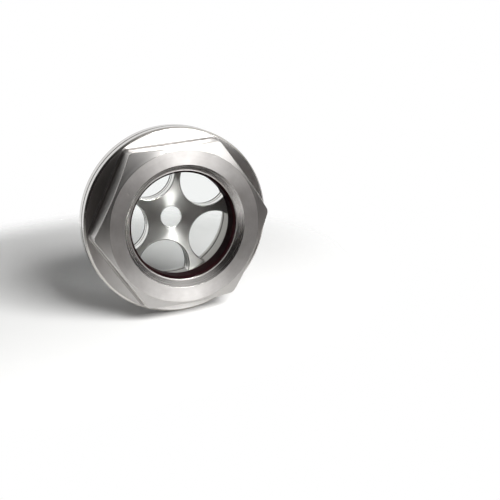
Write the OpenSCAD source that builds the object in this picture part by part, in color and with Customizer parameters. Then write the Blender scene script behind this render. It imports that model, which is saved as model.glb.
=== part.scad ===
// Oil sight glass: a stainless hexagon body with a round flange and a parallel pipe thread,
// a round glass held on a rubber ring behind the front lip, and a star-shaped reflector behind the glass.
// Sizes are in millimetres. The axis lies along Y, the window faces -Y and the thread points to +Y.
// The origin is the centre of the flange's rear sealing face.

/* [Hexagon] */
// Width across the flats, a standard spanner size
hex_af = 41; // [38:0.5:42.5]
// Height of the hexagon in front of the flange
hex_h = 7.5; // [6:0.5:11]
// How far the turned front flat stays inside the hexagon's flats
face_inset = 0.65; // [0.2:0.05:1.5]
// Slope of the turned corner chamfer from the front face, in degrees
corner_slope = 30; // [15:1:40]
// How much is turned off each corner of the hexagon
corner_trim = 0.27; // [0.1:0.01:0.8]

/* [Flange] */
// Outside diameter of the round flange
flange_d = 49.5; // [49.5:0.5:60]
// Thickness of the flange
flange_t = 6; // [4:0.5:9]
// Edge break on both flange edges
flange_edge = 0.5; // [0.2:0.05:0.6]

/* [Thread] */
// Major diameter of the parallel pipe thread
thread_d = 41.91; // [39:0.01:46]
// Length of the thread behind the flange
thread_l = 11; // [9.5:0.5:20]
// Chamfer at the thread's free end
thread_chamfer = 1.3; // [0.5:0.1:1.8]
// Width of the tool relief between the thread and the flange
relief_w = 2.8; // [2:0.1:4]
// Depth of the tool relief below the thread's major diameter
relief_depth = 1.55; // [0.8:0.05:1.8]
// How far the tool relief runs into the flange's rear face
relief_into = 0.3; // [0.1:0.05:0.5]
// Radial distance from the thread's major diameter to the flange's sealing face
seat_gap = 0.8; // [0.3:0.1:1.1]

/* [Window] */
// Clear diameter of the front lip
window_d = 28.5; // [27.5:0.1:30]
// Width of the countersink round the window
window_chamfer = 1.75; // [0.5:0.05:2.5]
// Straight land of the lip behind the countersink
lip_land = 0.5; // [0.3:0.1:1.5]
// Chamfer at the bore's rear mouth
mouth_chamfer = 1.2; // [0.4:0.1:1.4]

/* [Glass and seal] */
// Diameter of the glass disc
glass_d = 33.8; // [32:0.1:35]
// Thickness of the glass disc
glass_t = 7; // [5:0.5:8]
// Ground edge of the glass disc
glass_edge = 0.4; // [0.2:0.05:0.8]
// Radial gap between the glass and the bore
glass_gap = 0.15; // [0.05:0.05:0.4]
// Inside diameter of the rubber ring
seal_id = 27.4; // [25:0.1:28]
// Thickness of the rubber ring, as squeezed
seal_t = 4.6; // [2:0.05:5.5]
// Radial gap between the rubber ring and the bore
seal_gap = 0.05; // [0.05:0.05:0.3]
// Rounding of the rubber ring's inner edges
seal_round = 0.4; // [0.2:0.1:0.9]

/* [Reflector] */
// Wall of the reflector's ring, pressed into the bore
ring_wall = 1.15; // [0.8:0.05:1.6]
// Distance from the glass to the star
star_standoff = 1.9; // [1:0.05:3.5]
// Thickness of the star
star_t = 4.2; // [2:0.1:4.8]
// Number of round openings in the star
opening_count = 5; // [3:1:5]
// Diameter of each round opening
opening_d = 14.1; // [10:0.1:14.6]
// Diameter of the circle the opening centres lie on
opening_circle_d = 27; // [26.5:0.1:29]
// Direction of the first opening, seen from the front
opening_turn = 39; // [0:1:71]
// Diameter of the hole in the middle of the star
centre_hole_d = 5.7; // [3:0.1:8]
// Straight land of the middle hole, between its edge break and its flare
hole_land = 0.8; // [0.4:0.1:1.2]
// Slope of the middle hole's flare towards the rear, from the axis, in degrees
hole_flare = 27; // [0:1:32]
// Edge break on the star's openings
star_edge = 0.2; // [0.1:0.05:0.5]

/* [Hidden] */
$fn = 96;
cut = 1;
head_h = flange_t + hex_h;
face_r = hex_af / 2 - face_inset;
corner_r = hex_af / 2 / cos(30) - corner_trim;
corner_drop = (corner_r - face_r) * tan(corner_slope);
window_r = window_d / 2;
lip_back = head_h - window_chamfer - lip_land;
bore_r = glass_d / 2 + glass_gap;
seal_back = lip_back - seal_t;
glass_back = seal_back - glass_t;
star_front = glass_back - star_standoff;
star_back = star_front - star_t;
ring_inner_r = bore_r - ring_wall;
opening_r = opening_d / 2;
centre_hole_r = centre_hole_d / 2;
flare_h = star_t - star_edge - hole_land;

// Turns a piece drawn with its front towards +Z so that its front faces -Y
module face_forward() {
    rotate([90, 0, 0]) children();
}

// Hexagon with its corners turned round and chamfered to the front flat, reaching down into the flange
module hexagon_head() {
    intersection() {
        translate([0, 0, flange_t - cut]) cylinder(d = hex_af / cos(30), h = hex_h + cut, $fn = 6);
        rotate_extrude() polygon([
            [0, 0],
            [corner_r, 0],
            [corner_r, head_h - corner_drop],
            [face_r, head_h],
            [0, head_h]
        ]);
    }
}

// Flange and thread in one turned shape, with the relief between them and without the bore
module flange_and_thread() {
    flange_r = flange_d / 2;
    thread_r = thread_d / 2;
    seat_r = thread_r + seat_gap;
    rotate_extrude() polygon([
        [0, -thread_l],
        [thread_r - thread_chamfer, -thread_l],
        [thread_r, thread_chamfer - thread_l],
        [thread_r, -relief_w],
        [thread_r - relief_depth, relief_depth - relief_w],
        [thread_r - relief_depth, relief_into],
        [seat_r - relief_into, relief_into],
        [seat_r, 0],
        [flange_r - flange_edge, 0],
        [flange_r, flange_edge],
        [flange_r, flange_t - flange_edge],
        [flange_r - flange_edge, flange_t],
        [0, flange_t]
    ]);
}

// Stepped bore: countersunk window in the lip, then the seat for ring, glass and reflector
module stepped_bore() {
    rotate_extrude() polygon([
        [0, head_h + cut],
        [window_r + window_chamfer + cut, head_h + cut],
        [window_r, head_h - window_chamfer],
        [window_r, lip_back],
        [bore_r, lip_back],
        [bore_r, mouth_chamfer - thread_l],
        [bore_r + mouth_chamfer + cut, -thread_l - cut],
        [0, -thread_l - cut]
    ]);
}

// One-piece stainless body
module body() {
    color([0.76, 0.75, 0.73]) face_forward() difference() {
        union() {
            hexagon_head();
            flange_and_thread();
        }
        stepped_bore();
    }
}

// Rubber ring between the lip and the glass, its inner edges rounded
module front_seal() {
    inner_r = seal_id / 2;
    outer_r = bore_r - seal_gap;
    color([0.16, 0.07, 0.06]) face_forward() rotate_extrude() {
        translate([inner_r + seal_round, seal_back]) square([outer_r - inner_r - seal_round, seal_t]);
        translate([inner_r, seal_back + seal_round]) square([outer_r - inner_r, seal_t - 2 * seal_round]);
        translate([inner_r + seal_round, seal_back + seal_round]) circle(seal_round);
        translate([inner_r + seal_round, lip_back - seal_round]) circle(seal_round);
    }
}

// Clear glass disc with ground edges
module sight_glass() {
    glass_r = glass_d / 2;
    color([0.82, 0.90, 0.88, 0.35]) face_forward() rotate_extrude() polygon([
        [0, glass_back],
        [glass_r - glass_edge, glass_back],
        [glass_r, glass_back + glass_edge],
        [glass_r, seal_back - glass_edge],
        [glass_r - glass_edge, seal_back],
        [0, seal_back]
    ]);
}

// Round cutter through the star with an edge break on the side towards the glass
module star_cutter(r) {
    translate([0, 0, star_back - cut]) cylinder(r = r, h = star_t + 2 * cut);
    translate([0, 0, star_front - star_edge]) cylinder(r1 = r, r2 = r + 2 * star_edge, h = 2 * star_edge);
}

// Middle hole of the star, flared towards the rear so that it reads round from the side too
module centre_hole() {
    star_cutter(centre_hole_r);
    cone_h = flare_h + cut;
    translate([0, 0, star_back - cut])
        cylinder(r1 = centre_hole_r + cone_h * tan(hole_flare), r2 = centre_hole_r, h = cone_h);
}

// Star web with round openings between its arms, inside a ring that is pressed against the glass
module reflector() {
    color([0.80, 0.80, 0.78]) face_forward() union() {
        rotate_extrude() translate([ring_inner_r, star_back]) square([ring_wall, star_t + star_standoff]);
        difference() {
            translate([0, 0, star_back]) cylinder(r = ring_inner_r + ring_wall / 2, h = star_t);
            centre_hole();
            for (i = [0 : opening_count - 1])
                rotate(opening_turn + i * 360 / opening_count)
                    translate([opening_circle_d / 2, 0, 0])
                        star_cutter(opening_r);
        }
    }
}

body();
front_seal();
sight_glass();
reflector();
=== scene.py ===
"""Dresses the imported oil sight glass: a screw-in window of stainless steel with a star reflector.

model.glb gives the solids, and this file gives the surfaces that the eye sees: turned, milled and
threaded steel, a fluorocarbon rubber ring, clear glass and a drilled star, on a white studio table.
Sizes in the classes are millimetres, and meshes are in metres. The axis lies along Y, the window
faces -Y, and the flange's rear sealing face lies in the plane y = 0. A height is measured from that
plane towards the window, and an angle from +X towards +Z, seen from the front.
"""

import logging
import math
from dataclasses import dataclass, field
from enum import Enum, IntEnum
from typing import Any, Mapping, NamedTuple, Sequence

import bmesh
import bpy
import numpy as np
from mathutils import Matrix, Vector


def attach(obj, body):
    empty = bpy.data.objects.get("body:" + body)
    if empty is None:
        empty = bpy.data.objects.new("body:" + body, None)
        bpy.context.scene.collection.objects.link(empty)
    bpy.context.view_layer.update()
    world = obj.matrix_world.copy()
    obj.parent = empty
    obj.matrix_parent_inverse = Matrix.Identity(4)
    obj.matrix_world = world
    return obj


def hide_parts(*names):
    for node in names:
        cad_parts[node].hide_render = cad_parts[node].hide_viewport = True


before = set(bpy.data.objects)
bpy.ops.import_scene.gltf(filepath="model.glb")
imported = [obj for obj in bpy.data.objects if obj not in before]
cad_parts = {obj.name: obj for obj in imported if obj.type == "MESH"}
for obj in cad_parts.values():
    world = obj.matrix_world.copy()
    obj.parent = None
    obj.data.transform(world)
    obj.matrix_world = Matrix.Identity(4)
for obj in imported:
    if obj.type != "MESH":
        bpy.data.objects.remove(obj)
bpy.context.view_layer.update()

LOG = logging.getLogger("oil_sight_glass")
MM = 0.001
FULL_TURN = 2.0 * math.pi
WHITE = "#ffffff"
# Meshing: columns of a round piece, steps and rows of a rounded corner, reach of its outer rows,
# angle from which an edge is shaded sharp, and distance within which points are merged
RING_COLUMNS = 240
ARC_STEPS = 4
ARC_ROWS = ARC_STEPS + 3
HOLD_MM = 0.03
SHARP_ANGLE = math.radians(35.0)
WELD_M = 1e-6


def linear(hex_colour: str) -> tuple[float, float, float, float]:
    """Turns an sRGB hex colour into the linear colour that Blender's sockets take.

    Args:
        hex_colour: six hex digits after a hash, such as "#c2bdb6".

    Returns:
        Linear red, green and blue, and an alpha of one.
    """
    srgb = np.array([int(hex_colour[i:i + 2], 16) for i in (1, 3, 5)]) / 255.0
    low, high = srgb / 12.92, ((srgb + 0.055) / 1.055) ** 2.4
    red, green, blue = np.where(srgb <= 0.04045, low, high)
    return float(red), float(green), float(blue), 1.0


def add(tree: bpy.types.NodeTree, kind: str, inputs: Mapping[str | int, Any] | None = None,
        **settings: Any) -> bpy.types.Node:
    """Adds one node to a tree, with its settings, constants and links.

    Args:
        tree: the node tree that gets the node.
        kind: Blender's name of the node's type.
        inputs: for each socket, by name or number, a constant or the output socket that feeds it.
        settings: the node's own properties, such as operation.

    Returns:
        The new node.
    """
    node = tree.nodes.new(kind)
    for name, value in settings.items():
        setattr(node, name, value)
    for socket, value in (inputs or {}).items():
        if isinstance(value, bpy.types.NodeSocket):
            tree.links.new(value, node.inputs[socket])
        else:
            node.inputs[socket].default_value = value
    return node


def empty_tree(owner: bpy.types.Material | bpy.types.World) -> bpy.types.NodeTree:
    """Gives a material or world an empty node tree and returns it."""
    owner.use_nodes = True
    owner.node_tree.nodes.clear()
    return owner.node_tree


def new_material(name: str) -> tuple[bpy.types.Material, bpy.types.NodeTree, bpy.types.NodeSocket]:
    """Makes a material and returns it, its empty node tree and its Object coordinates."""
    material = bpy.data.materials.new(name)
    tree = empty_tree(material)
    return material, tree, add(tree, "ShaderNodeTexCoord").outputs["Object"]


def place(radius: Any, angle: Any, height: Any) -> np.ndarray:
    """Points in metres from cylinder coordinates round the axis.

    x = radius * cos(angle), y = -height, z = radius * sin(angle).

    Args:
        radius: distance from the axis in millimetres, of any shape.
        angle: angle from +X towards +Z in radians, of a shape that fits the radius.
        height: height in front of the sealing face in millimetres, of a shape that fits too.

    Returns:
        An array of the common shape with three coordinates last.
    """
    radius, angle, height = np.broadcast_arrays(radius, angle, height)
    return np.stack((radius * np.cos(angle), -height, radius * np.sin(angle)), axis=-1) * MM


def round_angles(count: int) -> np.ndarray:
    """Even angles of one turn, the last of which lies one step before the first."""
    return np.linspace(0.0, FULL_TURN, count, endpoint=False)


def corner_sides(corners: np.ndarray) -> tuple[np.ndarray, np.ndarray, np.ndarray]:
    """Directions of the two sides that meet at each corner of closed profiles.

    Args:
        corners: corner points, shaped (corner, profile, 2), as radius and height.

    Returns:
        Unit directions into and out of each corner, and their cross product.
    """
    inward = corners - np.roll(corners, 1, axis=0)
    inward /= np.linalg.norm(inward, axis=-1, keepdims=True)
    onward = np.roll(inward, -1, axis=0)
    return inward, onward, inward[..., 0] * onward[..., 1] - inward[..., 1] * onward[..., 0]


def round_corners(corners: np.ndarray, radii: Sequence[float],
                  steps: int = ARC_STEPS) -> np.ndarray:
    """Rounds the corners of closed profiles.

    Each corner is cut back by radius * tan(turn / 2) along both of its sides, and an arc of that
    radius joins the cuts. One more point on either side, HOLD_MM further out, keeps the flat beside
    the arc evenly shaded.

    Args:
        corners: corner points, shaped (corner, profile, 2), as radius and height.
        radii: the rounding of each corner.
        steps: the straight steps of each arc.

    Returns:
        Points shaped (corner * (steps + 3), profile, 2).
    """
    inward, onward, cross = corner_sides(corners)
    turn = np.arctan2(cross, (inward * onward).sum(axis=-1))[:, None, :, None]
    normal = np.stack((-inward[..., 1], inward[..., 0]), axis=-1)[:, None] * np.sign(turn)
    radius = np.asarray(radii, dtype=float)[:, None, None, None]
    cut = radius * np.tan(np.abs(turn) / 2.0)
    start = corners[:, None] - cut * inward[:, None]
    swing = np.abs(turn) * np.linspace(0.0, 1.0, steps + 1)[None, :, None, None]
    arc = start + radius * (normal * (1.0 - np.cos(swing)) + inward[:, None] * np.sin(swing))
    first = arc[:, :1] - HOLD_MM * inward[:, None]
    last = arc[:, -1:] + HOLD_MM * onward[:, None]
    return np.concatenate((first, arc, last), axis=1).reshape(-1, corners.shape[1], 2)


def corners_turn_outward(corners: np.ndarray) -> np.ndarray:
    """Tells which corners of closed profiles stand out, as edges do, and which are roots.

    Args:
        corners: corner points, shaped (corner, profile, 2), in the order of round_corners.

    Returns:
        One truth value for each corner: the turn at it has the sign that most of the corners have.
    """
    turn = np.sign(corner_sides(corners)[2][:, 0])
    return turn == np.sign(turn.sum())


class Stop(NamedTuple):
    """A corner of a turned profile: its place, rounding and the finish of the strip after it."""

    radius: Any
    height: Any
    rounding: float
    zone: IntEnum


def stop_corners(stops: Sequence[Stop], columns: int) -> np.ndarray:
    """The stops' corner points for round_corners, one profile for each column."""
    return np.stack([np.stack([np.broadcast_to(value, (columns,)) for value in stop[:2]], axis=-1)
                     for stop in stops])


def strip_zones(stops: Sequence[Stop], arcs: Sequence[int] | np.ndarray) -> np.ndarray:
    """The finish of each strip of a profile that round_corners has rounded.

    Args:
        stops: the profile's corners.
        arcs: the finish of each corner's arc.

    Returns:
        One finish number for each strip; a corner's first one ends the strip before it.
    """
    onward = np.array([stop.zone for stop in stops])
    zones = np.repeat(onward[:, None], ARC_ROWS, axis=1)
    zones[:, 0] = np.roll(onward, 1)
    zones[:, 1:1 + ARC_STEPS] = np.asarray(arcs)[:, None]
    return zones.ravel()


def weld_points(mesh: bpy.types.Mesh, orient: bool) -> None:
    """Merges points of a mesh that lie in one place.

    Args:
        mesh: the mesh.
        orient: whether its faces are then turned outwards.
    """
    shell = bmesh.new()
    shell.from_mesh(mesh)
    bmesh.ops.remove_doubles(shell, verts=shell.verts, dist=WELD_M)
    if orient:
        bmesh.ops.recalc_face_normals(shell, faces=shell.faces)
    shell.to_mesh(mesh)
    shell.free()


@dataclass
class Patch:
    """A surface as a grid of points, a function of a row and a column parameter."""

    points: np.ndarray
    wrap_rows: bool = False
    wrap_columns: bool = False
    zones: np.ndarray | int = 0

    def faces(self) -> np.ndarray:
        """Quads of the grid, each from (i, j) by (i + 1, j) and (i + 1, j + 1) to (i, j + 1).

        Returns:
            Four point numbers for each quad.
        """
        rows, columns = self.points.shape[:2]
        i = np.arange(rows if self.wrap_rows else rows - 1)[:, None]
        j = np.arange(columns if self.wrap_columns else columns - 1)[None, :]
        below, beside = (i + 1) % rows, (j + 1) % columns
        here, next_row = i * columns, below * columns
        ring = np.broadcast_arrays(here + j, next_row + j, next_row + beside, here + beside)
        return np.stack(ring, axis=-1).reshape(-1, 4)

    def face_zones(self) -> np.ndarray:
        """The finish of each quad, from zones, which holds one for each strip between two rows.

        Returns:
            One finish number for each quad.
        """
        rows, columns = self.points.shape[:2]
        strips = rows if self.wrap_rows else rows - 1
        across = columns if self.wrap_columns else columns - 1
        return np.repeat(np.broadcast_to(self.zones, (strips,)), across)


def make_piece(name: str, patches: Sequence[Patch], materials: Sequence[bpy.types.Material],
               node: str, weld: bool = False) -> bpy.types.Object:
    """Puts patches into one mesh object that stands for a CAD node.

    Args:
        name: the piece's name.
        patches: its surfaces, whose points are in metres in the part's frame.
        materials: finishes, in the order of the patches' zone numbers.
        node: the CAD node it stands for.
        weld: whether the points of neighbouring patches are merged.

    Returns:
        The finished object, at the origin, riding on the part's one body.
    """
    counts = np.cumsum([0] + [patch.points[..., 0].size for patch in patches])
    points = np.concatenate([patch.points.reshape(-1, 3) for patch in patches])
    faces = np.concatenate([patch.faces() + start for patch, start in zip(patches, counts)])
    zones = np.concatenate([patch.face_zones() for patch in patches])
    mesh = bpy.data.meshes.new(name)
    mesh.from_pydata(points, [], faces)
    mesh.polygons.foreach_set("material_index", zones.astype(np.int32))
    mesh.polygons.foreach_set("use_smooth", np.ones(len(faces), dtype=bool))
    if weld:
        weld_points(mesh, orient=True)
    mesh.set_sharp_from_angle(angle=SHARP_ANGLE)
    for material in materials:
        mesh.materials.append(material)
    piece = bpy.data.objects.new(name, mesh)
    bpy.context.scene.collection.objects.link(piece)
    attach(piece, "root")
    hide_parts(node)
    LOG.info("%s: %d faces for node %s", name, len(mesh.polygons), node)
    return piece


class Lay(Enum):
    """How the marks of the tool lie on a steel surface."""

    TURNED = "round the axis"
    MILLED = "straight along a flat"


@dataclass(frozen=True)
class Marks:
    """Marks from handling, pressed into steel: the peaks of a noise, stretched by its grain."""

    grain_mm: tuple[float, float, float]
    slope: float
    peak: tuple[float, float]

    def height(self, tree: bpy.types.NodeTree, where: bpy.types.NodeSocket) -> bpy.types.NodeSocket:
        """Adds the marks to a material.

        Args:
            tree: the material's node tree.
            where: its coordinates.

        Returns:
            How far a point lies in a mark, from 0 to 1.
        """
        slant = add(tree, "ShaderNodeMapping", {
            "Vector": where, "Rotation": (0.0, self.slope, 0.0),
            "Scale": [1.0 / (size * MM) for size in self.grain_mm]})
        noise = add(tree, "ShaderNodeTexNoise", {
            "Vector": slant.outputs[0], "Scale": 1.0, "Detail": 1.0})
        low, high = self.peak
        return add(tree, "ShaderNodeMapRange", {
            "Value": noise.outputs["Fac"], "From Min": low, "From Max": high}).outputs["Result"]


# Knocks about 0.4 mm wide and a few millimetres apart, and hair scratches about a centimetre long,
# drawn 0.15 mm wide
DENTS = Marks((1.1, 1.1, 1.1), 0.0, (0.66, 0.76))
SCRATCHES = Marks((0.26, 3.0, 14.0), math.radians(38.0), (0.70, 0.78))


@dataclass(frozen=True)
class CutSteel:
    """Austenitic stainless steel as a lathe tool or a milling cutter leaves it.

    The tool's grooves run round the axis, so gloss spreads across them: on a flat face the light
    gathers into two bright fans above and below the axis, and the sides stay dark.
    """

    name: str
    colour: str = "#cfcdcb"
    stain: str = "#bfbcba"
    roughness: float = 0.34
    spread: float = 0.06
    anisotropy: float = 0.9
    groove_mm: float = 0.45
    groove_depth_mm: float = 0.004
    cloud_mm: float = 5.0
    dent_mm: float = 0.0
    scratch_mm: float = 0.0
    lay: Lay = Lay.TURNED

    def material(self) -> bpy.types.Material:
        """Builds the material.

        Grooves are noise over radius and height alone, so they are the same all the way round; on a
        milled flat they are noise over height alone, so they run straight along it.
        A lathe's feed of about 0.1 mm is too fine to show, so grooves are drawn coarser.
        Clouds of a second noise stain the steel, and dents and scratches are pressed into it.

        Returns:
            The material.
        """
        material, tree, where = new_material(self.name)
        axes = add(tree, "ShaderNodeSeparateXYZ", {0: where})
        across = add(tree, "ShaderNodeCombineXYZ", {"X": axes.outputs["X"], "Z": axes.outputs["Z"]})
        radius = add(tree, "ShaderNodeVectorMath", {0: across.outputs[0]}, operation="LENGTH")
        out = radius.outputs["Value"] if self.lay is Lay.TURNED else 0.0
        meridian = add(tree, "ShaderNodeCombineXYZ", {"X": out, "Y": axes.outputs["Y"]})
        grooves = add(tree, "ShaderNodeTexNoise", {
            "Vector": meridian.outputs[0], "Scale": 1.0 / (self.groove_mm * MM), "Detail": 3.0,
            "Roughness": 0.65})
        clouds = add(tree, "ShaderNodeTexNoise", {
            "Vector": where, "Scale": 1.0 / (self.cloud_mm * MM), "Detail": 4.0, "Roughness": 0.6})
        rough = add(tree, "ShaderNodeMapRange", {
            "Value": grooves.outputs["Fac"], "From Min": 0.3, "From Max": 0.7,
            "To Min": self.roughness - self.spread, "To Max": self.roughness + self.spread})
        tint = add(tree, "ShaderNodeMix", {
            0: clouds.outputs["Fac"], 6: linear(self.stain), 7: linear(self.colour)},
            data_type="RGBA")
        bump = add(tree, "ShaderNodeBump", {
            "Height": grooves.outputs["Fac"], "Distance": self.groove_depth_mm * MM,
            "Strength": 1.0})
        for depth, marks in ((self.dent_mm, DENTS), (self.scratch_mm, SCRATCHES)):
            if depth:
                bump = add(tree, "ShaderNodeBump", {
                    "Height": marks.height(tree, where), "Distance": depth * MM, "Strength": 1.0,
                    "Normal": bump.outputs["Normal"]}, invert=True)
        normal = add(tree, "ShaderNodeNewGeometry").outputs["Normal"]
        round_axis = add(tree, "ShaderNodeVectorMath", {0: (0.0, 1.0, 0.0), 1: where},
                         operation="CROSS_PRODUCT")
        lay = add(tree, "ShaderNodeVectorMath", {0: round_axis.outputs[0], 1: normal},
                  operation="CROSS_PRODUCT")
        spread = add(tree, "ShaderNodeVectorMath", {0: lay.outputs[0]}, operation="NORMALIZE")
        steel = add(tree, "ShaderNodeBsdfPrincipled", {
            "Base Color": tint.outputs[2], "Metallic": 1.0, "Roughness": rough.outputs["Result"],
            "Anisotropic": self.anisotropy, "Tangent": spread.outputs[0],
            "Normal": bump.outputs["Normal"]})
        add(tree, "ShaderNodeOutputMaterial", {"Surface": steel.outputs["BSDF"]})
        return material


@dataclass(frozen=True)
class MouldedRubber:
    """Fluorocarbon rubber, moulded: nearly black with a red-brown cast, matt, faintly grained.

    Its gloss is set far below a smooth rubber's, so that the ring looks black in the lip's shade.
    """

    name: str = "moulded_fluorocarbon_rubber"
    colour: str = "#100809"
    worn: str = "#2a1114"
    roughness: float = 0.5
    spread: float = 0.1
    gloss: float = 0.01
    ior: float = 1.45
    grain_mm: float = 0.5
    grain_depth_mm: float = 0.02
    patch_mm: float = 4.0

    def material(self) -> bpy.types.Material:
        """Builds the material; the mould's grain of 0.1 mm is drawn coarser so that it shows.

        Returns:
            The material.
        """
        material, tree, where = new_material(self.name)
        grain = add(tree, "ShaderNodeTexNoise", {
            "Vector": where, "Scale": 1.0 / (self.grain_mm * MM), "Detail": 3.0})
        patches = add(tree, "ShaderNodeTexNoise", {
            "Vector": where, "Scale": 1.0 / (self.patch_mm * MM), "Detail": 2.0})
        tint = add(tree, "ShaderNodeMix", {
            0: patches.outputs["Fac"], 6: linear(self.colour), 7: linear(self.worn)},
            data_type="RGBA")
        rough = add(tree, "ShaderNodeMapRange", {
            "Value": grain.outputs["Fac"], "To Min": self.roughness - self.spread,
            "To Max": self.roughness + self.spread})
        bump = add(tree, "ShaderNodeBump", {
            "Height": grain.outputs["Fac"], "Distance": self.grain_depth_mm * MM, "Strength": 0.6})
        rubber = add(tree, "ShaderNodeBsdfPrincipled", {
            "Base Color": tint.outputs[2], "Roughness": rough.outputs["Result"], "IOR": self.ior,
            "Specular IOR Level": self.gloss, "Normal": bump.outputs["Normal"]})
        add(tree, "ShaderNodeOutputMaterial", {"Surface": rubber.outputs["BSDF"]})
        return material


@dataclass(frozen=True)
class PolishedGlass:
    """Soda-lime glass, ground and polished: clear, with the faintest green in its body."""

    name: str = "polished_soda_lime_glass"
    colour: str = "#fbfdfc"
    ior: float = 1.52
    haze: float = 0.03
    haze_mm: float = 6.0

    def material(self) -> bpy.types.Material:
        """Builds the material; faint polish haze of a few millimetres varies the gloss.

        Returns:
            The material.
        """
        material, tree, where = new_material(self.name)
        cloud = add(tree, "ShaderNodeTexNoise", {
            "Vector": where, "Scale": 1.0 / (self.haze_mm * MM), "Detail": 2.0})
        rough = add(tree, "ShaderNodeMapRange", {
            "Value": cloud.outputs["Fac"], "To Min": 0.0, "To Max": self.haze})
        glass = add(tree, "ShaderNodeBsdfPrincipled", {
            "Base Color": linear(self.colour), "Roughness": rough.outputs["Result"],
            "IOR": self.ior, "Transmission Weight": 1.0})
        add(tree, "ShaderNodeOutputMaterial", {"Surface": glass.outputs["BSDF"]})
        return material


class BodyZone(IntEnum):
    """Surfaces of the body that a different tool or pass has left."""

    COUNTERSINK = 0
    FACE = 1
    CORNER_CONE = 2
    FLAT = 3
    FLANGE_FACE = 4
    RIM = 5
    REAR_FACE = 6
    THREAD = 7
    BORE = 8
    EDGE = 9
    ROOT = 10
    GROOVE = 11


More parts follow.
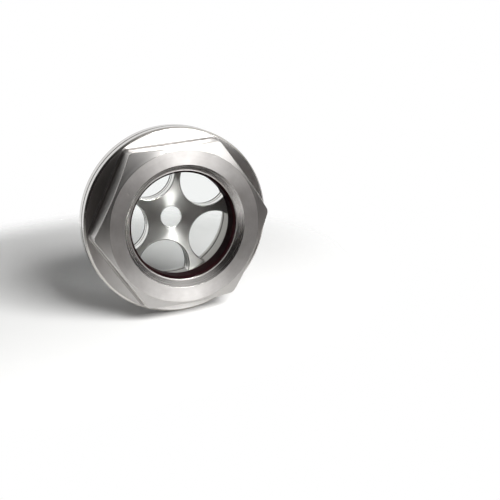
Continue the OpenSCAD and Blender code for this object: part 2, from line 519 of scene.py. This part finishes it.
@dataclass
class Body:
    """The one-piece steel body: hexagon head, flange, pipe thread and stepped bore."""

    hex_af: float = 41.0
    head: float = 13.5
    face_r: float = 19.85
    corner_slope: float = math.radians(30.0)
    corner_trim: float = 0.27
    corner_break: float = 0.06
    flange_r: float = 24.75
    flange_t: float = 6.0
    flange_edge: float = 0.5
    groove_at: float = 3.2
    groove_w: float = 0.7
    groove_depth: float = 0.15
    thread_r: float = 20.955
    thread_pitch: float = 2.309
    thread_depth: float = 1.479
    thread_l: float = 11.0
    thread_chamfer: float = 1.3
    relief_w: float = 2.8
    relief_depth: float = 1.55
    relief_into: float = 0.3
    seat_gap: float = 0.8
    window_r: float = 14.25
    countersink: float = 1.75
    ledge_w: float = 0.3
    lip_back: float = 11.25
    bore_r: float = 17.05
    mouth_chamfer: float = 1.2
    ledge_round: float = 0.06
    sink_round: float = 0.05
    face_round: float = 0.10
    flat_round: float = 0.30
    root_round: float = 0.70
    flange_round: float = 0.12
    groove_round: float = 0.05
    seat_round: float = 0.06
    relief_round: float = 0.08
    neck_round: float = 0.25
    bore_round: float = 0.10
    finishes: Mapping[BodyZone, CutSteel] = field(default_factory=lambda: {
        BodyZone.COUNTERSINK: CutSteel(
            "turned_countersink_steel", colour="#e2dfdd", stain="#d4d1cf", roughness=0.26,
            spread=0.02, anisotropy=0.3, groove_depth_mm=0.0008, dent_mm=0.008),
        BodyZone.FACE: CutSteel(
            "turned_face_steel", colour="#e6e4e2", stain="#b4b0ae", roughness=0.56,
            anisotropy=0.70, dent_mm=0.02, scratch_mm=0.006),
        BodyZone.CORNER_CONE: CutSteel(
            "turned_corner_steel", colour="#dad8d6", stain="#c8c5c3", roughness=0.40,
            anisotropy=0.5),
        BodyZone.FLAT: CutSteel(
            "milled_flat_steel", roughness=0.32, anisotropy=0.4, lay=Lay.MILLED),
        BodyZone.FLANGE_FACE: CutSteel(
            "turned_flange_steel", colour="#f2f0ee", stain="#e3e0de", roughness=0.32,
            anisotropy=0.95),
        BodyZone.RIM: CutSteel("turned_rim_steel", roughness=0.15, anisotropy=0.4),
        BodyZone.REAR_FACE: CutSteel("turned_sealing_steel", roughness=0.36, anisotropy=0.9),
        BodyZone.THREAD: CutSteel("cut_thread_steel", roughness=0.30, anisotropy=0.6),
        BodyZone.BORE: CutSteel("bored_steel", roughness=0.36, anisotropy=0.85),
        BodyZone.EDGE: CutSteel(
            "broken_edge_steel", colour="#e2dfdb", stain="#d2cfca", roughness=0.22,
            anisotropy=0.2, groove_depth_mm=0.0005, dent_mm=0.02),
        # Painted shade: the roots' steel is darker than the rest, so every inward corner reads darker
        BodyZone.ROOT: CutSteel(
            "root_steel_painted_shade", colour="#b9b6b4", stain="#a6a3a0", anisotropy=0.3),
        # Painted shade: the rim groove's steel is far darker than the rim's, standing in for shade in
        # the groove
        BodyZone.GROOVE: CutSteel(
            "rim_groove_painted_shade_steel", colour="#6e6b68", stain="#55524f", roughness=0.4,
            anisotropy=0.5),
    })

    def angles(self) -> np.ndarray:
        """Column angles, close together where a corner of the hexagon is turned.

        Returns:
            The angles of one turn in radians.
        """
        sixth, flat_end, corner_start = 60.0, 28.5, 28.72
        flat_columns, corner_columns = 56, 10
        flat = np.linspace(-flat_end, flat_end, flat_columns)
        corner = np.linspace(corner_start, sixth - corner_start, corner_columns)
        sector = np.radians(np.concatenate((flat, corner)))
        centres = np.radians(sixth * (np.arange(6) + 0.5))
        return (centres[:, None] + sector[None, :]).ravel()

    def head_radius(self, angle: np.ndarray) -> np.ndarray:
        """Outline of the head: the nearer of the flat, af / 2 / cos(angle from its middle), and the
        turned corner radius, blended over corner_break.

        Args:
            angle: column angles in radians.

        Returns:
            The radius at each angle.
        """
        sixth, blend = math.pi / 3.0, self.corner_break
        corner_r = self.hex_af / 2.0 / math.cos(sixth / 2.0) - self.corner_trim
        local = np.mod(angle, sixth) - sixth / 2.0
        flat = self.hex_af / 2.0 / np.cos(local)
        near = np.clip(blend - np.abs(flat - corner_r), 0.0, None) / blend
        return np.minimum(flat, corner_r) - near ** 2 * blend / 4.0

    def thread_rows(self, angle: np.ndarray) -> tuple[np.ndarray, np.ndarray]:
        """The threaded length as radius over height and angle.

        radius = minor radius + depth / 2 * (1 + cos(2 pi * (along / pitch + angle / turn))), where
        along is the way along the axis, is close to the rounded 55 degree pipe form. The relief next
        to the flange and the chamfer at the free end cut it.

        Args:
            angle: column angles in radians.

        Returns:
            Radius and height, each shaped (row, column).
        """
        begin, end, count = 0.3, self.thread_l - 0.12, 80
        along = np.linspace(begin, end, count)[:, None]
        phase = along / self.thread_pitch + angle[None, :] / FULL_TURN
        minor = self.thread_r - self.thread_depth
        ridge = minor + self.thread_depth / 2.0 * (1.0 + np.cos(FULL_TURN * phase))
        relief = self.thread_r - np.clip(self.relief_w - along, 0.0, self.relief_depth)
        chamfer = self.thread_r - self.thread_chamfer + self.thread_l - along
        radius = np.minimum(np.minimum(ridge, relief), chamfer)
        return radius, -np.broadcast_to(along, radius.shape)

    def surface(self) -> Patch:
        """The whole body as one closed grid: a profile that is carried round the axis.

        It starts at the lip's ledge, goes over countersink, face, corner cone and flat to the flange,
        along the thread to the rear, and back through the bore. The head's radius changes with the
        angle.

        Returns:
            The patch, closed both ways, with a zone for each strip.
        """
        angle = self.angles()
        head_r = self.head_radius(angle)
        cone_end = self.head - (head_r - self.face_r) * math.tan(self.corner_slope)
        ledge = self.head - self.countersink
        rim_r, edge = self.flange_r, self.flange_edge
        groove_half = self.groove_w / 2.0
        seat_r, neck_r = self.thread_r + self.seat_gap, self.thread_r - self.relief_depth
        into, end = self.relief_into, -self.thread_l
        front = [
            Stop(self.window_r, ledge, self.ledge_round, BodyZone.FACE),
            Stop(self.window_r + self.ledge_w, ledge, self.ledge_round, BodyZone.COUNTERSINK),
            Stop(self.window_r + self.countersink, self.head, self.sink_round, BodyZone.FACE),
            Stop(self.face_r, self.head, self.face_round, BodyZone.CORNER_CONE),
            Stop(head_r, cone_end, self.flat_round, BodyZone.FLAT),
            Stop(head_r, self.flange_t, self.root_round, BodyZone.FLANGE_FACE),
            Stop(rim_r - edge, self.flange_t, self.flange_round, BodyZone.EDGE),
            Stop(rim_r, self.flange_t - edge, self.flange_round, BodyZone.RIM),
            Stop(rim_r, self.groove_at + groove_half, self.groove_round, BodyZone.GROOVE),
            Stop(rim_r - self.groove_depth, self.groove_at, self.groove_round, BodyZone.GROOVE),
            Stop(rim_r, self.groove_at - groove_half, self.groove_round, BodyZone.RIM),
            Stop(rim_r, edge, self.flange_round, BodyZone.RIM),
            Stop(rim_r - edge, 0.0, self.flange_round, BodyZone.REAR_FACE),
            Stop(seat_r, 0.0, self.seat_round, BodyZone.THREAD),
            Stop(seat_r - into, into, self.relief_round, BodyZone.THREAD),
            Stop(neck_r, into, self.neck_round, BodyZone.THREAD),
        ]
        rear = [
            Stop(self.thread_r - self.thread_chamfer, end, self.bore_round, BodyZone.REAR_FACE),
            Stop(self.bore_r + self.mouth_chamfer, end, self.bore_round, BodyZone.BORE),
            Stop(self.bore_r, end + self.mouth_chamfer, self.bore_round, BodyZone.BORE),
            Stop(self.bore_r, self.lip_back, self.bore_round, BodyZone.BORE),
            Stop(self.window_r, self.lip_back, self.bore_round, BodyZone.EDGE),
        ]
        stops = front + rear
        corners = stop_corners(stops, angle.size)
        rows = round_corners(corners, [stop.rounding for stop in stops])
        # Inward arcs get the root steel, whose darker colour is painted shade in the corners
        arcs = np.where(corners_turn_outward(corners), BodyZone.EDGE, BodyZone.ROOT)
        thread_r, thread_h = self.thread_rows(angle)
        after = [len(front) * ARC_ROWS] * len(thread_r)
        radius = np.insert(rows[..., 0], after, thread_r, axis=0)
        height = np.insert(rows[..., 1], after, thread_h, axis=0)
        zones = np.insert(strip_zones(stops, arcs), after, BodyZone.THREAD)
        points = place(radius, angle[None, :], height)
        return Patch(points, wrap_rows=True, wrap_columns=True, zones=zones)

    def build(self) -> bpy.types.Object:
        """Makes the body's piece in its finishes."""
        materials = [self.finishes[zone].material() for zone in BodyZone]
        return make_piece("steel_body", [self.surface()], materials, "body")


@dataclass
class FrontSeal:
    """The rubber ring between lip and glass."""

    inner_r: float = 13.7
    outer_r: float = 17.0
    front: float = 11.25
    back: float = 6.65
    inner_round: float = 0.4
    outer_round: float = 0.2
    arc_steps: int = 6
    finish: MouldedRubber = MouldedRubber()

    def build(self) -> bpy.types.Object:
        """Makes the ring: a rectangle with rounded corners, carried round the axis.

        Returns:
            The ring's piece.
        """
        corners = np.array([[self.inner_r, self.front], [self.outer_r, self.front],
                            [self.outer_r, self.back], [self.inner_r, self.back]])[:, None, :]
        roundings = [self.inner_round, self.outer_round, self.outer_round, self.inner_round]
        rows = round_corners(corners, roundings, self.arc_steps)
        points = place(rows[..., 0], round_angles(RING_COLUMNS)[None, :], rows[..., 1])
        patch = Patch(points, wrap_rows=True, wrap_columns=True)
        return make_piece("rubber_ring", [patch], [self.finish.material()],
                          "front_seal")


class StarZone(IntEnum):
    """Surfaces of the reflector that a different tool or pass has left."""

    WEB = 0
    EDGE = 1
    WALL = 2
    # Strips of near-black steel: painted shade on the hole walls and in the ring's turned line
    SEAM = 3
    RING = 4


@dataclass
class StarReflector:
    """The reflector: a ring with a web of five arms between round openings, and a middle hole."""

    ring_inner_r: float = 15.9
    ring_outer_r: float = 17.0
    ring_front: float = -0.35
    star_front: float = -2.25
    star_back: float = -6.45
    openings: int = 5
    opening_r: float = 7.05
    opening_circle_r: float = 13.5
    first_opening: float = math.radians(39.0)
    hole_r: float = 2.85
    hole_land: float = 0.8
    hole_flare: float = math.radians(27.0)
    front_edge: float = 0.2
    back_edge: float = 0.12
    # Where the painted shade line and the painted shade band at the rear lie on the opening walls
    shade_line_depth: float = 2.0
    shade_line_w: float = 0.4
    shade_band_w: float = 0.9
    line_at: float = -5.2
    line_w: float = 0.6
    line_depth: float = 0.12
    arm_run_in: float = 0.4
    ring_round: float = 0.15
    line_round: float = 0.03
    arc_points: int = 33
    arm_points: int = 29
    hub_points: int = 8
    edge_points: int = 7
    finishes: Mapping[StarZone, CutSteel] = field(default_factory=lambda: {
        StarZone.WEB: CutSteel(
            "turned_star_steel", colour="#dedbd9", stain="#d0cdca", roughness=0.45,
            anisotropy=0.972, groove_depth_mm=0.006),
        StarZone.EDGE: CutSteel(
            "broken_star_edge_steel", colour="#e6e4e1", stain="#dad8d4", roughness=0.20,
            spread=0.01, anisotropy=0.2, groove_depth_mm=0.0005),
        StarZone.WALL: CutSteel(
            "drilled_wall_steel", colour="#f0eeec", stain="#e2e0dd", roughness=0.14,
            spread=0.01, anisotropy=0.2, groove_depth_mm=0.0005),
        # Painted shade: near-black steel for the dark lines on the walls and in the ring's turned
        # line
        StarZone.SEAM: CutSteel(
            "painted_shade_line_steel", colour="#3c3836", stain="#272422", roughness=0.45,
            anisotropy=0.2),
        StarZone.RING: CutSteel(
            "turned_ring_steel", colour="#a9a6a2", stain="#8d8a86", roughness=0.32,
            anisotropy=0.7),
    })

    def opening_edge(self, share: np.ndarray, opening_r: float | np.ndarray
                     ) -> tuple[np.ndarray, np.ndarray]:
        """Points on an opening's edge, from its innermost point to where it runs into the ring.

        With s the share of the arc and p = s * the arc's end, the point lies at
        (circle radius - r cos p, r sin p) from the axis, the first axis going through the opening's
        middle.

        Args:
            share: share of the half arc, from 0 to 1.
            opening_r: radius of the opening.

        Returns:
            Distance from the axis, and angle from the opening's middle.
        """
        far = self.ring_inner_r + self.arm_run_in
        centre = self.opening_circle_r
        end = np.arccos((centre ** 2 + opening_r ** 2 - far ** 2) / (2.0 * centre * opening_r))
        along = centre - opening_r * np.cos(share * end)
        aside = opening_r * np.sin(share * end)
        return np.hypot(along, aside), np.arctan2(aside, along)

    def flare(self) -> float:
        """How much wider the middle hole is at the rear face than at its land."""
        depth = self.star_front - self.front_edge - self.hole_land - self.star_back
        return depth * math.tan(self.hole_flare)

    def pitch(self) -> float:
        """Angle from one opening to the next."""
        return FULL_TURN / self.openings

    def starts(self) -> np.ndarray:
        """Angles of the openings' middles."""
        return self.first_opening + self.pitch() * np.arange(self.openings)

    def web_face(self, height: float, opening_r: float, hole_r: float) -> list[Patch]:
        """One flat side of the web, as a fan of one patch for each arm.

        Rows run outwards, over the hub and then along the arm, and columns from one opening's edge to
        the next one's.

        Args:
            height: height of the flat.
            opening_r: radius of the openings at this flat.
            hole_r: radius of the middle hole at this flat.

        Returns:
            The arms' patches.
        """
        edge_r, edge_angle = self.opening_edge(np.linspace(0.0, 1.0, self.arc_points), opening_r)
        hub_r = np.linspace(hole_r, edge_r[0], self.hub_points)[:-1]
        radius = np.concatenate((hub_r, edge_r))[:, None]
        inset = np.concatenate((np.zeros_like(hub_r), edge_angle))[:, None]
        across = inset + np.linspace(0.0, 1.0, self.arm_points) * (self.pitch() - 2.0 * inset)
        return [Patch(place(radius, start + across, height)) for start in self.starts()]

    def profile(self, radius: float,
                flare: float = 0.0) -> tuple[np.ndarray, np.ndarray, np.ndarray]:
        """A hole's wall from front to rear: a quarter round of the edge break, then the wall.

        An opening's wall has a thin line part way down and a band at the rear in near-black steel,
        which is painted shade on the straight wall.

        Args:
            radius: radius of the hole.
            flare: how much wider the hole is at the rear face.

        Returns:
            Radius and height of each row, and the zone of each strip between two rows.
        """
        swing = np.linspace(0.0, math.pi / 2.0, self.edge_points)
        edge, rear, bottom = self.front_edge, self.back_edge, self.star_back
        round_r = radius + edge * (1.0 - np.sin(swing))
        round_h = self.star_front - edge * (1.0 - np.cos(swing))
        if flare:
            land = self.star_front - edge - self.hole_land
            wide = radius + flare * (land - bottom - rear) / (land - bottom)
            radii, heights = [radius, wide, radius + flare + rear], [land, bottom + rear, bottom]
            zones = [StarZone.WALL] * 3
        else:
            shade_line = self.star_front - self.shade_line_depth
            shade_band = bottom + self.shade_band_w
            radii = [radius, radius, radius, radius, radius + rear]
            heights = [shade_line, shade_line - self.shade_line_w, shade_band, bottom + rear, bottom]
            zones = [StarZone.WALL, StarZone.SEAM, StarZone.WALL, StarZone.SEAM, StarZone.SEAM]
        return (np.concatenate((round_r, radii)), np.concatenate((round_h, heights)),
                np.array([StarZone.EDGE] * (self.edge_points - 1) + zones))

    def walls(self) -> list[Patch]:
        """Walls of the openings and of the hole, and the arms' ends inside the ring.

        Returns:
            The patches, whose rows follow the profile.
        """
        opening_r, height, zones = self.profile(self.opening_r)
        half = np.linspace(0.0, 1.0, self.arc_points)
        edge_r, edge_angle = self.opening_edge(half[None, :], opening_r[:, None])
        radius = np.concatenate((edge_r[:, :0:-1], edge_r), axis=1)
        aside = np.concatenate((-edge_angle[:, :0:-1], edge_angle), axis=1)
        share = np.linspace(0.0, 1.0, self.arm_points)[None, :]
        level, last = height[:, None], edge_angle[:, -1:]
        across = last + share * (self.pitch() - 2.0 * last)
        patches = []
        for start in self.starts():
            patches.append(Patch(place(radius, start + aside, level), zones=zones))
            patches.append(Patch(place(edge_r[:, -1:], start + across, level), zones=zones))
        hole_r, hole_height, zones = self.profile(self.hole_r, self.flare())
        turn = (self.starts()[:, None] + share[:, :-1] * self.pitch()).ravel()
        patches.append(Patch(place(hole_r[:, None], turn[None, :], hole_height[:, None]),
                             wrap_columns=True, zones=zones))
        return patches

    def ring(self) -> Patch:
        """The ring: a rectangle with broken corners and a fine turned line inside, carried round.

        Returns:
            The patch, closed both ways, with a zone for each strip.
        """
        inner, outer = self.ring_inner_r, self.ring_outer_r
        half = self.line_w / 2.0
        broken = [Stop(radius, height, self.ring_round, StarZone.RING) for radius, height in (
            (inner, self.ring_front), (outer, self.ring_front),
            (outer, self.star_back), (inner, self.star_back))]
        line = [
            # The line's near-black steel is painted shade in its groove
            Stop(inner, self.line_at - half, self.line_round, StarZone.SEAM),
            Stop(inner + self.line_depth, self.line_at, self.line_round, StarZone.SEAM),
            Stop(inner, self.line_at + half, self.line_round, StarZone.RING),
        ]
        stops = broken + line
        rows = round_corners(stop_corners(stops, 1), [stop.rounding for stop in stops])
        arcs = [StarZone.EDGE] * len(broken) + [stop.zone for stop in line]
        points = place(rows[..., 0], round_angles(RING_COLUMNS)[None, :], rows[..., 1])
        return Patch(points, wrap_rows=True, wrap_columns=True, zones=strip_zones(stops, arcs))

    def build(self) -> bpy.types.Object:
        """Makes the reflector's piece in its finishes.

        Returns:
            The piece, its patches welded.
        """
        front = self.web_face(self.star_front, self.opening_r + self.front_edge,
                              self.hole_r + self.front_edge)
        back = self.web_face(self.star_back, self.opening_r + self.back_edge,
                             self.hole_r + self.flare() + self.back_edge)
        materials = [self.finishes[zone].material() for zone in StarZone]
        return make_piece("star_reflector", front + back + self.walls() + [self.ring()], materials,
                          "reflector", weld=True)


class Shine(Enum):
    """What a lamp is set to light, as flags and screens do in a studio."""

    STEEL = "gloss alone"
    TABLE = "matt surfaces alone"


@dataclass(frozen=True)
class Softbox:
    """A rectangular soft lamp, aimed at the part."""

    name: str
    place_mm: tuple[float, float, float]
    size_mm: tuple[float, float]
    watts: float
    shine: Shine
    aim_mm: tuple[float, float, float] = (0.0, -4.0, 0.0)

    def build(self) -> bpy.types.Object:
        """Makes the lamp and sets what it lights.

        Returns:
            The lamp.
        """
        lamp = bpy.data.lights.new(self.name, "AREA")
        lamp.shape = "RECTANGLE"
        lamp.size, lamp.size_y = (side * MM for side in self.size_mm)
        lamp.energy = self.watts
        rig = bpy.data.objects.new(self.name, lamp)
        rig.visible_glossy = self.shine is Shine.STEEL
        rig.visible_diffuse = self.shine is Shine.TABLE
        rig.location = Vector(self.place_mm) * MM
        aim = (Vector(self.aim_mm) - Vector(self.place_mm)).normalized()
        rig.rotation_euler = aim.to_track_quat("-Z", "Y").to_euler()
        bpy.context.scene.collection.objects.link(rig)
        return rig


@dataclass(frozen=True)
class PhotoCamera:
    """The photograph's camera, fitted to the flange, the face and the window's circles."""

    azimuth: float = math.radians(-19.74)
    elevation: float = math.radians(16.09)
    roll: float = math.radians(-4.855)
    distance_mm: float = 247.5
    focal_px: float = 969.5
    frame_px: float = 500.0
    sensor_mm: float = 36.0
    near_m: float = 0.01
    face_centre_px: tuple[float, float] = (186.04, 227.03)
    face_centre_mm: tuple[float, float, float] = (0.0, -13.5, 0.0)

    def build(self) -> bpy.types.Object:
        """Makes the camera and sets it as the scene's.

        The view's axes come from azimuth and elevation, turned by the roll. The camera stands back
        from the face's centre by the distance, and aside so that this centre falls on its pixel.

        Returns:
            The camera.
        """
        a, e, r = self.azimuth, self.elevation, self.roll
        back = Vector((math.sin(a) * math.cos(e), -math.cos(a) * math.cos(e), math.sin(e)))
        level = Vector((math.cos(a), math.sin(a), 0.0))
        rise = back.cross(level)
        right = level * math.cos(r) + rise * math.sin(r)
        up = rise * math.cos(r) - level * math.sin(r)
        middle = self.frame_px / 2.0
        aside = (self.face_centre_px[0] - middle) / self.focal_px * self.distance_mm
        above = (middle - self.face_centre_px[1]) / self.focal_px * self.distance_mm
        spot = Vector(self.face_centre_mm) + back * self.distance_mm - right * aside - up * above
        data = bpy.data.cameras.new("photo_camera")
        data.sensor_width = self.sensor_mm
        data.lens = data.sensor_width * self.focal_px / self.frame_px
        data.clip_start = self.near_m
        camera = bpy.data.objects.new("photo_camera", data)
        turn = Matrix((right, up, back)).transposed().to_4x4()
        camera.matrix_world = Matrix.Translation(spot * MM) @ turn
        bpy.context.scene.collection.objects.link(camera)
        bpy.context.scene.camera = camera
        return camera


@dataclass(frozen=True)
class RoomSide:
    """A side of the room as the steel mirrors it: a colour that fades in towards a direction.

    The fade runs over the dot product of that direction and the ray's, from begin to full.
    """

    name: str
    towards: tuple[float, float, float]
    begin: float
    full: float
    colour: str


@dataclass
class Studio:
    """White table, soft lamps and a dim room round them."""

    floor_mm: float = -24.75
    floor_gap_mm: float = 0.05
    floor_r_mm: float = 180.0
    fade_centre_mm: tuple[float, float] = (-25.0, 38.0)
    fade_mm: tuple[float, float] = (60.0, 100.0)
    paper: str = "#f6f6f5"
    paper_roughness: float = 0.4
    paper_lift: float = 0.035
    room: str = "#1a1716"
    matt_share: float = 0.25
    sides: Sequence[RoomSide] = (
        RoomSide("table in front", (0.0, 0.0, 1.0), -0.10, -0.50, "#7c7674"),
        RoomSide("ceiling", (0.35, 0.10, 0.93), 0.55, 0.97, "#b8b8b6"),
        RoomSide("glow at the upper right", (0.70, -0.13, 0.70), 0.80, 1.00, "#e4e4e2"),
        RoomSide("left wall", (-0.85, -0.25, -0.47), 0.84, 0.98, "#8c8c8a"),
        RoomSide("white backdrop", (0.0, 1.0, 0.0), 0.10, 0.48, WHITE),
    )
    lamps: Sequence[Softbox] = (
        Softbox("key_strip", (117.5, -315.5, 172.0), (120.0, 240.0), 1.22, Shine.STEEL),
        Softbox("right_fill", (287.0, -203.0, 170.0), (120.0, 120.0), 0.13, Shine.STEEL),
        Softbox("table_lamp", (90.0, -306.0, 190.0), (190.0, 150.0), 1.85, Shine.TABLE),
    )

    def table(self) -> bpy.types.Object:
        """Makes the table: white paper that catches the shadow near the part and fades into white.

        Returns:
            The table, a disc of rings round its middle.
        """
        rings, columns = 10, 96
        radius = np.linspace(0.0, self.floor_r_mm, rings)[:, None]
        angle = round_angles(columns)[None, :]
        points = np.stack(np.broadcast_arrays(
            radius * np.cos(angle), radius * np.sin(angle), self.floor_mm - self.floor_gap_mm),
            axis=-1) * MM
        patch = Patch(points, wrap_columns=True)
        mesh = bpy.data.meshes.new("paper_table")
        mesh.from_pydata(patch.points.reshape(-1, 3), [], patch.faces())
        mesh.materials.append(self.paper_material())
        weld_points(mesh, orient=False)
        table = bpy.data.objects.new("paper_table", mesh)
        bpy.context.scene.collection.objects.link(table)
        return table

    def paper_material(self) -> bpy.types.Material:
        """Matt white paper that turns clear away from the part, where the background is white.

        Returns:
            The material, with a small glow that sets how dark a shadow gets.
        """
        material, tree, where = new_material("matt_white_paper")
        axes = add(tree, "ShaderNodeSeparateXYZ", {0: where})
        flat = add(tree, "ShaderNodeCombineXYZ", {"X": axes.outputs["X"], "Y": axes.outputs["Y"]})
        centre = Vector((*self.fade_centre_mm, 0.0)) * MM
        radius = add(tree, "ShaderNodeVectorMath", {0: flat.outputs[0], 1: centre},
                     operation="DISTANCE")
        fade = add(tree, "ShaderNodeMapRange", {
            "Value": radius.outputs["Value"], "From Min": self.fade_mm[0] * MM,
            "From Max": self.fade_mm[1] * MM}, interpolation_type="SMOOTHSTEP")
        matt = add(tree, "ShaderNodeBsdfDiffuse", {
            "Color": linear(self.paper), "Roughness": self.paper_roughness})
        path = add(tree, "ShaderNodeLightPath")
        lift = add(tree, "ShaderNodeMapRange", {
            "Value": path.outputs["Is Diffuse Ray"], "To Min": self.paper_lift, "To Max": 0.0})
        glow = add(tree, "ShaderNodeEmission", {"Strength": lift.outputs["Result"]})
        paper = add(tree, "ShaderNodeAddShader", {0: matt.outputs[0], 1: glow.outputs[0]})
        clear = add(tree, "ShaderNodeBsdfTransparent")
        mixed = add(tree, "ShaderNodeMixShader", {
            0: fade.outputs["Result"], 1: paper.outputs[0], 2: clear.outputs[0]})
        add(tree, "ShaderNodeOutputMaterial", {"Surface": mixed.outputs[0]})
        return material

    def air(self) -> bpy.types.World:
        """Makes the room: white to the camera and the glass, dim with brighter sides to the steel,
        which needs something dark to show its shape.

        Returns:
            The scene's world.
        """
        world = bpy.data.worlds.new("studio_room")
        bpy.context.scene.world = world
        tree = empty_tree(world)
        look = add(tree, "ShaderNodeTexCoord").outputs["Generated"]
        mirrored: Any = linear(self.room)
        for side in self.sides:
            facing = add(tree, "ShaderNodeVectorMath", {0: look, 1: side.towards},
                         operation="DOT_PRODUCT", label=side.name)
            share = add(tree, "ShaderNodeMapRange", {
                "Value": facing.outputs["Value"], "From Min": side.begin, "From Max": side.full},
                interpolation_type="SMOOTHSTEP")
            mirrored = add(tree, "ShaderNodeMix", {
                0: share.outputs["Result"], 6: mirrored, 7: linear(side.colour)},
                data_type="RGBA").outputs[2]
        # Glass shows white unless steel has mirrored the ray, whose glossy depth is then 1 or more
        no_mirror = 0.5
        path = add(tree, "ShaderNodeLightPath")
        direct = add(tree, "ShaderNodeMath", {0: path.outputs["Glossy Depth"], 1: no_mirror},
                     operation="LESS_THAN")
        through = add(tree, "ShaderNodeMath", {
            0: path.outputs["Is Transmission Ray"], 1: direct.outputs[0]}, operation="MULTIPLY")
        seen = add(tree, "ShaderNodeMath", {
            0: path.outputs["Is Camera Ray"], 1: through.outputs[0]}, operation="MAXIMUM")
        colour = add(tree, "ShaderNodeMix", {0: seen.outputs[0], 6: mirrored, 7: linear(WHITE)},
                     data_type="RGBA")
        level = add(tree, "ShaderNodeMapRange", {
            "Value": path.outputs["Is Diffuse Ray"], "To Min": 1.0, "To Max": self.matt_share})
        background = add(tree, "ShaderNodeBackground", {
            "Color": colour.outputs[2], "Strength": level.outputs["Result"]})
        add(tree, "ShaderNodeOutputWorld", {"Surface": background.outputs[0]})
        return world

    def build(self) -> None:
        """Sets the table, the room, the lamps and the colour view."""
        self.table()
        self.air()
        for lamp in self.lamps:
            lamp.build()
        bpy.context.scene.view_settings.view_transform = "Standard"


def main() -> None:
    """Builds the part's pieces, then the studio and the camera."""
    logging.basicConfig(level=logging.INFO, format="%(message)s")
    Body().build()
    FrontSeal().build()
    StarReflector().build()
    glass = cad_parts["sight_glass"]
    glass.data.materials.clear()
    polish = PolishedGlass()
    glass.data.materials.append(polish.material())
    LOG.info("sight_glass: the solid's own mesh in %s", polish.name)
    Studio().build()
    PhotoCamera().build()
    bpy.context.view_layer.update()


if __name__ == "__main__":
    main()
